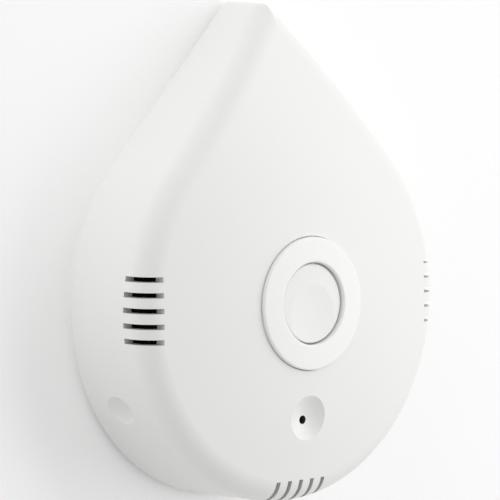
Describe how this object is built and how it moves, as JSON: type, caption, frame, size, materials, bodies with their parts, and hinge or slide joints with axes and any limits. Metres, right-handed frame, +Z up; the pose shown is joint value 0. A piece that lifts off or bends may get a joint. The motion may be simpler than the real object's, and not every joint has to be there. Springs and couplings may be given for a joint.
{
  "type": "water leak sensor",
  "caption": "Drop-shaped water leak sensor with a crowned face, a round test button in a ring, vent slots, a pin-hole dish and probe studs under its flat back.",
  "frame": {"origin": "middle of the bounding box in X and Y, on the plane that the feet stand on", "axes": "+Z up out of the face, +Y towards the tip of the drop, +X to the right seen from the face"},
  "size_m": [0.076, 0.0931, 0.0255],
  "materials": {
    "housing": "fine moulded, satin white",
    "cap": "fine moulded, satin white",
    "button": "fine moulded, satin white",
    "light_ring": "milky, softly glossy",
    "feet": "soft matt",
    "seals": "soft matt",
    "mesh": "fine black mesh",
    "steel": "stainless",
    "spring_steel": "nickel plated",
    "cell": "nickel plated can",
    "gold_plate": "gold plated",
    "board": "solder mask over glass laminate",
    "dark_plastic": "moulded black",
    "siren_brass": "rolled",
    "switch_body": "moulded black",
    "switch_plunger": "moulded grey",
    "can_metal": "drawn can",
    "copper_winding": "enamelled wire",
    "status_light": "clear resin"
  },
  "bodies": {
    "housing": {"front_cover": "housing", "back_cover": "housing", "button_ring": "light_ring", "foot_left": "feet", "foot_right": "feet", "foot_tip": "feet", "rim_seal": "seals", "vent_screens": "mesh", "case_screws": "steel", "board_screws": "steel", "probe_contacts": "steel", "probe_nuts": "steel", "negative_contact": "spring_steel", "positive_contact": "spring_steel", "coin_cell": "cell", "probe_pins": "gold_plate", "siren_pins": "gold_plate", "antenna": "gold_plate", "main_board": "board", "radio_board": "board", "cell_holder": "dark_plastic", "siren_case": "dark_plastic", "processor": "dark_plastic", "climate_sensor": "dark_plastic", "siren_disc": "siren_brass", "test_switch": "switch_body", "reset_switch": "switch_body", "radio_shield": "can_metal", "crystal": "can_metal", "storage_capacitor": "can_metal", "siren_transformer": "copper_winding", "status_lights": "status_light"},
    "test_button": {"test_button": "button"},
    "test_plunger": {"test_switch_plunger": "switch_plunger"},
    "reset_plunger": {"reset_switch_plunger": "switch_plunger"},
    "battery_cap": {"battery_cap": "cap", "cap_seal": "seals"}
  },
  "joints": [
    {"name": "test_button_press", "type": "slide", "parent": "housing", "child": "test_button", "axis": [0, 0, -1], "range_m": [0, 0.0005], "stiffness_N_per_m": 1600},
    {"name": "test_plunger_press", "type": "slide", "parent": "housing", "child": "test_plunger", "axis": [0, 0, -1], "range_m": [0, 0.0006]},
    {"name": "reset_plunger_press", "type": "slide", "parent": "housing", "child": "reset_plunger", "axis": [0, 0, -1], "range_m": [0, 0.0003], "stiffness_N_per_m": 1500},
    {"name": "battery_cap_turn", "type": "hinge", "parent": "housing", "child": "battery_cap", "pos_m": [0, -0.02155, 0.0012], "axis": [0, 0, -1], "range_deg": [0, 35]}
  ],
  "couplings": [
    {"joint": "test_plunger_press", "follows": "test_button_press", "ratio": 1}
  ]
}
